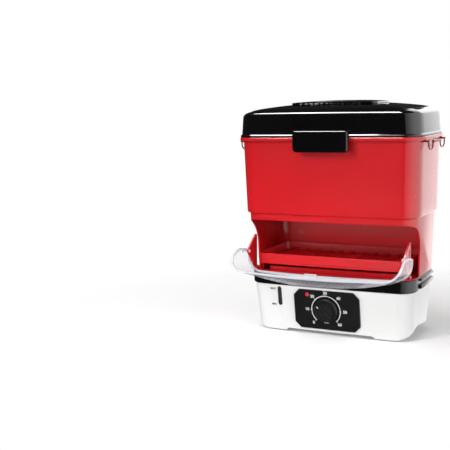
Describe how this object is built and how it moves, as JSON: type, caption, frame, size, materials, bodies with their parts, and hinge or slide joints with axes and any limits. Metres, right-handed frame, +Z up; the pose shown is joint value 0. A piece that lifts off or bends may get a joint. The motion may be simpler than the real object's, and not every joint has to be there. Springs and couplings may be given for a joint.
{
  "type": "hot dog steamer",
  "caption": "Countertop food steamer: tapered base with timer dial, reservoir collar, red housing with sliding tray and drop-down clear door, upper container and domed lid.",
  "frame": {"origin": "on the table under the middle of the whole object's box, the open door included", "axes": "+Z up, the front with the dial and the door faces -Y, +X to the viewer's right"},
  "size_m": [0.324, 0.228, 0.383],
  "materials": {
    "white_plastic": "satin moulded",
    "black_plastic": "polished moulded",
    "red_plastic": "polished moulded",
    "clear_plastic": "clear polished",
    "red_lens": "clear red",
    "rubber": "matt",
    "steel": "plated",
    "cast_aluminium": "as cast",
    "pale_plastic": "moulded"
  },
  "bodies": {
    "base": {"base_shell": "white_plastic", "base_plate": "black_plastic", "base_screw_1": "steel", "base_screw_2": "steel", "base_screw_3": "steel", "base_screw_4": "steel", "foot_pad_1": "rubber", "foot_pad_2": "rubber", "foot_pad_3": "rubber", "foot_pad_4": "rubber", "collar_ring": "black_plastic", "reservoir": "black_plastic", "heater_well": "black_plastic", "level_chamber": "black_plastic", "heater_gasket": "rubber", "heater_plate": "cast_aluminium", "heating_element": "steel", "thermostat": "steel", "thermal_fuse": "pale_plastic", "terminal_block": "pale_plastic", "cord_gland": "black_plastic", "water_window": "clear_plastic", "window_gasket": "rubber", "control_panel": "black_plastic", "indicator_lens": "red_lens", "indicator_lamp": "pale_plastic", "timer_body": "steel"},
    "knob": {"timer_knob": "black_plastic", "timer_shaft": "steel"},
    "housing": {"lower_housing": "red_plastic", "drip_tray": "red_plastic", "tray_rail_left": "red_plastic", "tray_rail_right": "red_plastic", "hinge_pin_left": "steel", "hinge_pin_right": "steel"},
    "tray": {"hot_dog_tray": "red_plastic"},
    "door": {"door_window": "clear_plastic", "door_arm_left": "red_plastic", "door_arm_right": "red_plastic", "door_clip_left": "clear_plastic", "door_clip_right": "clear_plastic"},
    "container": {"upper_container": "red_plastic", "bun_rack": "steel", "side_handle_left": "red_plastic", "side_handle_right": "red_plastic"},
    "lid": {"lid_shell": "black_plastic", "lid_top_plate": "black_plastic", "lid_tab": "black_plastic", "lid_screw_left": "steel", "lid_screw_right": "steel"}
  },
  "joints": [
    {"name": "housing_lift", "type": "slide", "parent": "base", "child": "housing", "axis": [0, 0, 1], "range_m": [0, 0.12]},
    {"name": "container_lift", "type": "slide", "parent": "housing", "child": "container", "axis": [0, 0, 1], "range_m": [0, 0.15]},
    {"name": "lid_lift", "type": "slide", "parent": "container", "child": "lid", "axis": [0, 0, 1], "range_m": [0, 0.12]},
    {"name": "tray_slide", "type": "slide", "parent": "housing", "child": "tray", "axis": [0, 0.9659, -0.2588], "range_m": [-0.1, 0]},
    {"name": "door_hinge", "type": "hinge", "parent": "housing", "child": "door", "pos_m": [0, -0.03142, 0.107], "axis": [-1, 0, 0], "range_deg": [0, 78]},
    {"name": "timer_turn", "type": "hinge", "parent": "base", "child": "knob", "pos_m": [-0.0032, -0.03773, 0.0435], "axis": [0, -0.9925, -0.1222], "range_deg": [-180, 90]}
  ]
}
